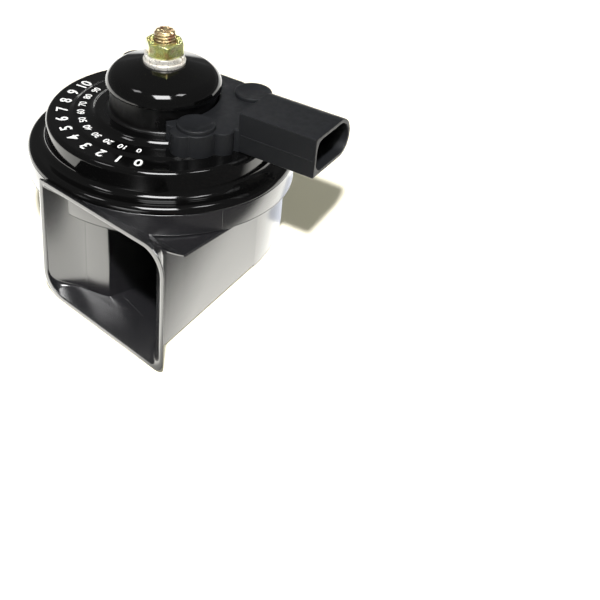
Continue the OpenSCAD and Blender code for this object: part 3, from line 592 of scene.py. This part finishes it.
class HORN_OT_trumpet(bpy.types.Operator):
    """Makes the moulded trumpet: skirt and deck, round wall, tongue, flared mouth with its lip, and spiral walls"""
    bl_idname = "horn.trumpet"
    bl_label = "Trumpet"

    def skirt_and_deck(self, cap, trumpet):
        """The skirt ring, with a thin bead round its foot, and the deck inside it, turned round the axis."""
        low, throat, wall = in_mm(trumpet, "skirt", "throat", "wall")
        rim, top = cap.rim_radius / MM - SLACK, cap.seat / MM - 0.08
        bore, deck = rim - 5.5, top - 4.52
        profile = joined(
            arc((rim - 0.25, low + 0.35), 0.25, 270, 410, 10), [[rim - 0.07, low + 0.65]],
            arc((rim - 0.47, top - 0.4), 0.4, 0, 90, 6),
            [[bore, top], [bore, deck], [throat, deck], [throat, deck - wall], [bore, deck - wall], [bore, low]])
        return lathe(profile)

    def round_wall(self, trumpet):
        """The round wall from the flank round to the mouth. Its foot follows the underside and is recessed for the
        bottom cover."""
        outer, wall, top = trumpet.wall_radius / MM, trumpet.wall / MM, trumpet.skirt / MM + 0.5
        recess = outer - 1.45
        foot = arc((outer - 0.5, 0.5), 0.5, 0, -90, 6)
        radius = joined([outer], foot[:, 0], [recess, recess, outer - wall, outer - wall])
        above = joined([0], foot[:, 1], [0, COVER, COVER, 0])
        at_top = np.array([1] + [0] * (len(foot) + 3) + [1])
        angle = sweep(3.6, 262, 200)[:, None]
        x, y = radius * np.cos(angle), radius * np.sin(angle)
        z = np.where(at_top, top, floor_height(x, y) + above)
        return loft(np.stack([x, y, z], axis=-1))

    def tongue(self, trumpet):
        """The tongue between the mouth and the hollow, in plan: out along the round wall's thickened front, round
        its end and back along the first straight wall of the spiral."""
        radius, wall, top = in_mm(trumpet, "wall_radius", "wall", "skirt")
        inner, outer, right, bend = radius - wall, radius + 1.6, 20.0, 0.9
        end = 360 - math.degrees(math.acos((right - bend) / outer))
        corner = -math.sqrt((outer - bend) ** 2 - (right - bend) ** 2)
        plan = joined(
            arc((0, 0), outer, 259, end - 0.6, 60), arc((right - bend, corner), bend, -62, 0, 8),
            [[right + 4.6, -34], [right + 4.6, -8], [right - 2, -8],
             [right - 2, -math.sqrt(inner ** 2 - (right - 2) ** 2)]],
            arc((0, 0), inner, 292.5, 259, 50))
        return prism(plan, floor_height(plan[:, 0], plan[:, 1]) + 1, top + 0.5)

    def mouth(self, trumpet):
        """The straight duct and the flared mouth: sections run forward along the inside, round the lip and back
        along the outside, and close at the back."""
        front, wall, lip = trumpet.mouth / MM, trumpet.wall / MM, 0.6
        flare = np.linspace(46.4, front - lip, 22)
        edge = -trumpet.mouth_left / MM
        # Inside, the left wall comes forward from the round wall along a circle of 20 mm, which touches that wall
        hollow = sweep(102.4, 146.1, 22)
        inside = np.array([8, 38, 40, 42, 44, 45.5])
        outside = np.array([8, 38, 38.6, 41, 43.9, 48.0])
        ahead_in = joined(inside, front + 10.6 - 20 * np.sin(hollow))
        left_in = joined([17.6] * 5, [12], edge + 16.6 + 20 * np.cos(hollow))
        ahead_out = joined(outside, flare)
        left_out = joined([17.6] * 5, [1.8], edge - 0.75 * np.minimum(front - flare, 13))
        right_in = joined([-3.46], ahead_in[1:])
        right_out = joined([-3.46, 38, 38.6, 41, 44.0, 45.2], flare)
        bend = sweep(0, 90, 7)
        lip_ahead = front - lip + lip * joined(np.sin(bend[1:]), np.cos(bend[:-1]))
        lip_inset = joined(wall - lip + lip * np.cos(bend[1:]), lip - lip * np.sin(bend[:-1]))
        lip_left = edge - 0.75 * np.minimum(front - lip_ahead, 13)
        lip_left[:6] = edge
        full = np.full(len(ahead_in), wall)
        lift = joined(joined(full, lip_inset) * COVER / wall, np.interp(ahead_out, [47, 52], [0.7, 0.0])[::-1])
        return loft(mouth_sections(
            trumpet, joined(ahead_in, lip_ahead, ahead_out[::-1]), joined(right_in, lip_ahead, right_out[::-1]),
            joined(left_in, lip_left, left_out[::-1]), joined(full, lip_inset, 0 * full), lift), True)

    def floor_bead(self):
        """A low round bead across the duct's floor, where the cover starts."""
        along = np.column_stack([np.linspace(23.6, 37.4, 9), np.linspace(-42.2, -44.2, 9)])
        turn = np.radians(np.linspace(0, 360, 13)[:-1])
        size = 0.42 * np.sin(np.pi * np.linspace(0.03, 0.97, 9)) ** 0.35
        x = along[:, :1] + 0 * turn
        y = along[:, 1:] + size[:, None] * np.cos(turn)
        z = floor_height(along[:, :1], along[:, 1:]) + COVER + size[:, None] * np.sin(turn)
        return loft(np.stack([x, y, z], axis=-1))

    def spiral_walls(self, trumpet):
        """The spiral walls inside. Each follows a path, with half a wall's thickness to both sides of it."""
        first, steps, low, high = (19.0, -8.0), 49, 1.9, 26.7
        turn = sweep(math.degrees(math.atan2(first[1], first[0])), 285, steps)
        grow = np.linspace(math.hypot(*first), 33, steps)
        spiral = np.column_stack([grow * np.cos(turn), grow * np.sin(turn)])
        bend = arc((0, 0), trumpet.throat / MM + 3, -40, -300, 21)
        join = grow[np.argmin(np.abs(turn - math.radians(60)))] * np.array([[0.5, math.sqrt(0.75)]])
        shells = []
        for path in (joined(spiral, bend[:1]), joined(bend, join)):
            along = np.gradient(path, axis=0)
            along /= np.linalg.norm(along, axis=1)[:, None]
            side = np.column_stack([-along[:, 1], along[:, 0]])
            plan = joined(path + side, (path - side)[::-1])
            shells.append(prism(plan, floor_height(plan[:, 0], plan[:, 1]) + low, high))
        return shells

    def seam(self, cap, trumpet):
        """The mould's parting line up the skirt: a thin half-round bead."""
        bead = arc((0, 0), 0.12, 0, 360, 13)[:-1]
        angle = math.radians(-19)
        rim, low, high = cap.rim_radius / MM, trumpet.skirt / MM + 0.4, cap.seat / MM - 0.5
        way, across = np.array([math.cos(angle), math.sin(angle)]), np.array([-math.sin(angle), math.cos(angle)])
        return prism((rim - 0.11 + bead[:, :1]) * way + bead[:, 1:] * across, low, high)

    def execute(self, context):
        cap, trumpet = context.scene.horn_cap, context.scene.horn_trumpet
        shells = [self.skirt_and_deck(cap, trumpet), self.round_wall(trumpet), self.tongue(trumpet),
                  self.mouth(trumpet), self.floor_bead(), self.seam(cap, trumpet), *self.spiral_walls(trumpet)]
        settle(new_piece("trumpet", shells, finishes()["moulded polypropylene"]),
               "horn_body", "housing_plastic", "trumpet_body")
        return {"FINISHED"}


class HORN_OT_connector(bpy.types.Operator):
    """Makes the connector: base plate with its lobes, two bosses and the plug shroud"""
    bl_idname = "horn.connector"
    bl_label = "Connector"

    def plate(self, cap, connector):
        """The base plate. Its outline is the farthest reach, along each direction from a middle point, of a plan of
        straight sides and of four round lobes, and it stops where the neck is. Its top edge is rounded."""
        middle = np.array([30.0, 5.0])
        angle = np.radians(np.linspace(0, 360, 720, endpoint=False))
        way = np.column_stack([np.cos(angle), np.sin(angle)])
        corners = np.array([[2, 26], [6, 27.5], [18, 27.5], [38.6, 22], [38.6, -7.2], [34, -8], [24, -20], [15, -20],
                            [8, -10]], float) - middle
        edge = np.roll(corners, -1, axis=0) - corners
        cross = way[:, None, 0] * edge[:, 1] - way[:, None, 1] * edge[:, 0]
        cross = np.where(np.abs(cross) < 1e-9, 1e-9, cross)
        reach = (corners[:, 0] * edge[:, 1] - corners[:, 1] * edge[:, 0]) / cross
        along = (corners[:, 0] * way[:, None, 1] - corners[:, 1] * way[:, None, 0]) / cross
        far = np.where((reach > 0) & (along >= 0) & (along <= 1), reach, 0).max(1)
        for x, y, radius in ((*RIVETS[0], 8.1), (*RIVETS[1], 7.68), (22.5, -20.5, 4.4), (33, -10, 4.2)):
            centre = np.array([x, y]) - middle
            ahead = way @ centre
            room = radius ** 2 - (centre @ centre - ahead ** 2)
            far = np.maximum(far, np.where(room > 0, ahead + np.sqrt(np.clip(room, 0, None)), 0))
        ahead = -way @ middle
        room = (cap.neck_radius / MM + 0.4) ** 2 - (middle @ middle - ahead ** 2)
        hit = np.where((room > 0) & (ahead > 0), ahead - np.sqrt(np.clip(room, 0, None)), 1e3)
        outline = middle + way * np.minimum(far, hit)[:, None]
        tangent = np.roll(outline, -1, axis=0) - np.roll(outline, 1, axis=0)
        tangent /= np.linalg.norm(tangent, axis=1)[:, None]
        normal = np.column_stack([tangent[:, 1], -tangent[:, 0]])
        outside, _ = cap_profile(cap)
        under = np.interp(np.linalg.norm(outline, axis=1), outside[1:, 0], outside[1:, 1]) + 0.05
        under = np.minimum(under, cap.hub / MM + 0.1)
        top, edge, bend = connector.plate / MM, 0.35, sweep(0, 90, 5)
        rings = [np.column_stack([outline, under])]
        rings += [np.column_stack([outline - normal * edge * (1 - math.cos(b)),
                                   np.full(len(outline), top - edge + edge * math.sin(b))]) for b in bend]
        return loft(np.stack(rings))

    def boss(self, connector, x, y):
        """A round boss with a rounded edge and a very shallow dish inside its rim."""
        radius, low, edge = connector.boss_radius / MM, connector.plate / MM - 0.5, 0.5
        high = (connector.plate + connector.boss) / MM
        dish = high - 0.1
        profile = joined(
            [[radius, low]], arc((radius - edge, high - edge), edge, 0, 90, 7),
            [[radius - 1.3, high], [radius - 1.5, dish], [0.05, dish], [0.05, low]])
        points, quads, ends = lathe(profile, 96)
        return points + np.array([x, y, 0]), quads, ends

    def outline(self, cap, connector, inset, near):
        """The shroud across its length: flat near side, round far side, drawn in by the inset."""
        low, high = cap.face / MM + inset, connector.shroud / MM - inset
        left, right, upper, lower = -7.2 + inset, 20 - inset, 8.4 - inset, 7.3 - inset
        return joined(
            arc((left + near, high - near), near, 180, 90, 9), arc((right - upper, high - upper), upper, 90, 0, 19),
            arc((right - lower, low + lower), lower, 0, -90, 17), arc((left + near, low + near), near, 270, 180, 9))

    def shroud(self, cap, connector):
        """The shroud: sections run forward along the outside, round the rim and back to the socket's end."""
        end, wall, depth = in_mm(connector, "shroud_end", "shroud_wall", "socket")
        bend, corner = 0.4, 1.2
        rim, back = end - bend, end - depth + corner
        outer, inner = self.outline(cap, connector, 0, 0.6), self.outline(cap, connector, wall, 4)
        turn = sweep(0, 90, 6)
        ahead = joined([38.1, rim - 6], rim + bend * np.sin(turn), rim + bend * np.cos(turn),
                       [back], back - corner * np.sin(turn[1:]))
        share = joined([0, 0], bend / wall * (1 - np.cos(turn)), 1 - bend / wall * (1 - np.sin(turn)),
                       [1], 1 + 0.35 * (1 - np.cos(turn[1:])))[:, None, None]
        loops = outer[None] * (1 - share) + inner[None] * share
        return loft(np.concatenate([np.broadcast_to(ahead[:, None, None], loops.shape[:2] + (1,)), loops], axis=-1))

    def execute(self, context):
        cap, connector = context.scene.horn_cap, context.scene.horn_connector
        shells = [self.plate(cap, connector), *(self.boss(connector, *place) for place in RIVETS),
                  self.shroud(cap, connector)]
        # Flash of the mould: a bead along the near side and one along its upper edge
        bead = 0.22
        for across, height in ((-7.16, 53.2), (-6.98, connector.shroud / MM - bead)):
            line = arc((across, height), bead, 0, 360, 13)[:-1]
            shells.append(loft(np.stack([np.column_stack([np.full(len(line), a), line]) for a in (39.0, 69.5)])))
        piece = new_piece("connector", shells, finishes()["glass-filled nylon"], turn=CONNECTOR_TURN)
        settle(piece, "horn_body", "connector_plastic", "connector_housing")
        return {"FINISHED"}


class HORN_OT_springs(bpy.types.Operator):
    """Makes the diaphragm in sectors, and the contact blade"""
    bl_idname = "horn.springs"
    bl_label = "Diaphragm and blade"

    def execute(self, context):
        cap = context.scene.horn_cap
        seat, outer = cap.seat / MM, (cap.rim_radius - cap.sheet) / MM - 0.3
        hole, thick, sectors, steps = 3.05, 0.35, 16, 7
        radius = joined([hole, 8], np.linspace(10, 46, 19), [outer])[:, None]
        height = np.repeat([seat + thick, seat + 0.01], steps)[None, :]
        half = math.pi / sectors
        for index in range(sectors):
            middle = 2 * half * index
            angle = middle + np.linspace(-half, half, steps)
            angle = joined(angle, angle[::-1])[None, :]
            piece = new_piece(f"diaphragm_{index + 1:02d}", [loft(turned(radius, angle, height))],
                              finishes()["cold-rolled steel"])
            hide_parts("diaphragm")
            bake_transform(piece)
        solid = frame["nodes"]["contact_blade"]
        mesh = solid.data.copy()
        mesh.transform(solid.matrix_world)
        mesh.materials.clear()
        mesh.materials.append(finishes()["cold-rolled brass"])
        blade = link_object("blade", mesh)
        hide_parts("contact_blade")
        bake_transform(blade)
        return {"FINISHED"}


class HORN_OT_scale(bpy.types.Operator):
    """Prints two rows of plain dial numbers round the hub"""
    bl_idname = "horn.scale"
    bl_label = "Printed scale"

    def number(self, text, size, radius, angle, height):
        """One number, bent to lie along its circle: its width becomes an angle and its height adds to the radius."""
        curve = bpy.data.curves.new("number", "FONT")
        curve.body, curve.size, curve.align_x = text, size, "CENTER"
        curve.offset, curve.resolution_u = 0.02 * size, 4
        holder = link_object("number", curve)
        glyph = evaluated(holder)
        flat = np.array([vertex.co for vertex in glyph.vertices])
        bent = math.radians(angle) - flat[:, 0] / (radius + 0.35 * size)
        out = radius + flat[:, 1]
        bpy.data.objects.remove(holder)
        return (np.column_stack([out * np.cos(bent), out * np.sin(bent), np.full(len(flat), height)]),
                [list(face.vertices) for face in glyph.polygons])

    def execute(self, context):
        face, hub = in_mm(context.scene.horn_cap, "face", "hub")
        points, faces, count = [], [], 0
        # Each row: the step between its numbers, their angles, size and radius, and the height of the sheet there
        for step, angles, size, radius, height in ((1, np.linspace(-57, -169, 11), 6.4, 36.4, face),
                                                   (10, np.linspace(-60, -166, 10), 3.9, 30.0, hub - 2)):
            for index, angle in enumerate(angles):
                shape, outline = self.number(str(step * index), size, radius, angle, height + 0.02)
                points.append(shape)
                faces += [[v + count for v in loop] for loop in outline]
                count += len(shape)
        piece = from_faces("printed_scale", on_horn(joined(*points)), faces, finishes()["pad-printing ink"])
        settle(piece, "horn_body", "bright_zinc")
        return {"FINISHED"}


class HORN_OT_inner_parts(bpy.types.Operator):
    """Gives the solids that keep their own shape their finishes"""
    bl_idname = "horn.inner_parts"
    bl_label = "Inner parts"

    def execute(self, context):
        by_slot = {
            "housing_plastic": "moulded polypropylene", "cover_plastic": "moulded polypropylene",
            "black_enamel": "black stoving enamel", "connector_plastic": "glass-filled nylon",
            "yellow_zinc": "yellow-passivated zinc", "bright_zinc": "zinc plate", "bare_steel": "cold-rolled steel",
            "spring_steel": "cold-rolled steel", "copper": "enamelled copper wire", "brass": "cold-rolled brass",
            "bobbin_plastic": "moulded nylon", "gasket_paper": "oiled fibre paper", "laminate": "phenolic laminate"}
        made = finishes()
        for part in frame["record"]["subparts"]:
            node = frame["nodes"][part["node"]]
            for place in node.material_slots:
                place.material = made[by_slot[part["material_slot"]]]
        return {"FINISHED"}


class HORN_OT_stage(bpy.types.Operator):
    """Sets up the white table, the soft lights and the camera"""
    bl_idname = "horn.stage"
    bl_label = "Stage"

    def table(self):
        """A white table. It shows as white and still takes the horn's shadow. In mirror images it glows as a painted
        sheen and shows painted dark patches.
        """
        half, low = 3, -0.0004
        corners = np.array([[-half, -half, low], [half, -half, low], [half, half, low], [-half, half, low]])
        # White card: matt, and lifted to white for the camera. In mirror images it glows brighter and bluish: a painted
        # sheen that the horn's sides reflect
        material, tree, shader = new_material("white card", linear("#f2ecd8"), Roughness=0.9, Specular_IOR_Level=0.1)
        path = link_node(tree, "LightPath").outputs
        mirrored = calculate(tree, "MAXIMUM", path["Is Glossy Ray"], path["Is Transmission Ray"])
        card = shader.outputs[0]
        # The first glow lifts the table to white for the camera; the second, seen only in mirror images, is the painted
        # sheen
        for rays, strength, tint in ((path["Is Camera Ray"], 0.18, (1, 0.98, 0.7, 1)),
                                     (mirrored, 1.05, (0.9, 0.95, 1.06, 1))):
            strength = calculate(tree, "MULTIPLY", rays, strength)
            glow = link_node(tree, "Emission", Color=tint, Strength=strength).outputs[0]
            card = link_node(tree, "AddShader", n_0=card, n_1=glow).outputs[0]
        # Painted dark reflection: in mirror images the table is dark from 7 cm to the right of the stud, and all round
        # from 45 cm on, so that the horn's sides mirror darkness there
        place = link_node(tree, "TexCoord").outputs["Object"]
        along = link_node(tree, "VectorMath", {"operation": "DOT_PRODUCT"}, n_0=place, n_1=(0.94, -0.34, 0))
        out = link_node(tree, "VectorMath", {"operation": "LENGTH"}, n_0=place)
        far = calculate(tree, "MAXIMUM", remap(tree, along.outputs["Value"], 0.06, 0.08),
                        remap(tree, out.outputs["Value"], 0.3, 0.45))
        far = calculate(tree, "MULTIPLY", far, mirrored)
        dark = link_node(tree, "Emission", Color=(1, 1, 1, 1), Strength=0.12).outputs[0]
        card = link_node(tree, "MixShader", n_0=far, n_1=card, n_2=dark).outputs[0]
        tree.links.new(card, tree.nodes["Material Output"].inputs["Surface"])
        from_faces("table", corners, [(0, 1, 2, 3)], material)

    def world(self, scene):
        """A dim room with a pale horizon: white for the camera, and darker with height for everything else."""
        world = bpy.data.worlds.new("studio")
        scene.world, world.use_nodes = world, True
        tree = world.node_tree
        way = link_node(tree, "TexCoord").outputs["Generated"]
        height = link_node(tree, "SeparateXYZ", Vector=way).outputs["Z"]
        seen = link_node(tree, "LightPath").outputs["Is Camera Ray"]
        seen = calculate(tree, "MAXIMUM", remap(tree, height, 0.0, 0.08, 0.2, 0.12), seen)
        back = tree.nodes["Background"].inputs
        back["Color"].default_value = (1, 1, 1, 1)
        tree.links.new(seen, back["Strength"])

    def aimed(self, name, data, place, target):
        """Puts a lamp or a camera at a place, and turns it to face the target."""
        holder = link_object(name, data)
        holder.location = place
        holder.rotation_euler = (target - place).to_track_quat("-Z", "Y").to_euler()
        return holder

    def lamp(self, name, azimuth, elevation, distance, width, height, power, mirrored=True, lit=True):
        """A rectangular light that faces the horn from a direction in degrees. It may be for mirror images only or
        for matt surfaces only."""
        light = bpy.data.lights.new(name, "AREA")
        light.shape, light.size, light.size_y, light.energy = "RECTANGLE", width, height, power
        a, e, middle = math.radians(azimuth), math.radians(elevation), Vector((0, 0, 0.05))
        way = Vector((math.cos(a) * math.cos(e), math.sin(a) * math.cos(e), math.sin(e)))
        holder = self.aimed(name, light, middle + way * distance, middle)
        holder.visible_glossy, holder.visible_diffuse = mirrored, lit

    def execute(self, context):
        scene, stage = context.scene, context.scene.horn_stage
        self.table()
        self.world(scene)
        self.lamp("main softbox", -38, 66, 0.95, 0.4, 0.4, stage.main_power, lit=False)
        self.lamp("main flash", -38, 63, 0.95, 0.06, 0.06, 17.0, mirrored=False)
        self.lamp("left strip", -145, 62, 1.1, 0.2, 0.2, 0.8, lit=False)
        self.lamp("right strip", 35, 62, 1.1, 0.2, 0.2, 1.3, lit=False)
        self.lamp("back lamp", 133.2, 20.6, 0.98, 0.03, 0.025, 0.12)
        camera = bpy.data.cameras.new("camera")
        camera.lens, camera.sensor_width, camera.clip_start = stage.lens, 36, 0.01
        scene.camera = self.aimed("camera", camera, Vector(stage.camera), Vector(stage.target))
        scene.view_settings.view_transform = "Standard"
        return {"FINISHED"}


class HORN_PT_pieces(bpy.types.Panel):
    """Lists the pieces of the horn"""
    bl_idname = "HORN_PT_pieces"
    bl_label = "Snail horn"
    bl_space_type = "VIEW_3D"
    bl_region_type = "UI"
    bl_category = "Horn"

    def draw(self, context):
        for maker in OPERATORS:
            self.layout.operator(maker.bl_idname)


GROUPS = {"horn_cap": HornCapSettings, "horn_stud": HornStudSettings, "horn_trumpet": HornTrumpetSettings,
          "horn_connector": HornConnectorSettings, "horn_colours": HornColours, "horn_stage": HornStageSettings}
OPERATORS = (HORN_OT_stage, HORN_OT_steel_cap, HORN_OT_stud, HORN_OT_nut, HORN_OT_washers, HORN_OT_trumpet,
             HORN_OT_connector, HORN_OT_springs, HORN_OT_scale, HORN_OT_inner_parts)


def register():
    for name, group in GROUPS.items():
        bpy.utils.register_class(group)
        setattr(bpy.types.Scene, name, bpy.props.PointerProperty(type=group))
    for maker in (*OPERATORS, HORN_PT_pieces):
        bpy.utils.register_class(maker)


def unregister():
    for maker in (HORN_PT_pieces, *reversed(OPERATORS)):
        bpy.utils.unregister_class(maker)
    for name, group in GROUPS.items():
        delattr(bpy.types.Scene, name)
        bpy.utils.unregister_class(group)


def main():
    """Registers the add-on and makes every piece in turn."""
    register()
    for maker in OPERATORS:
        group, name = maker.bl_idname.split(".")
        if getattr(getattr(bpy.ops, group), name)() != {"FINISHED"}:
            raise RuntimeError(f"{maker.bl_label} could not be made")


if __name__ == "__main__":
    main()
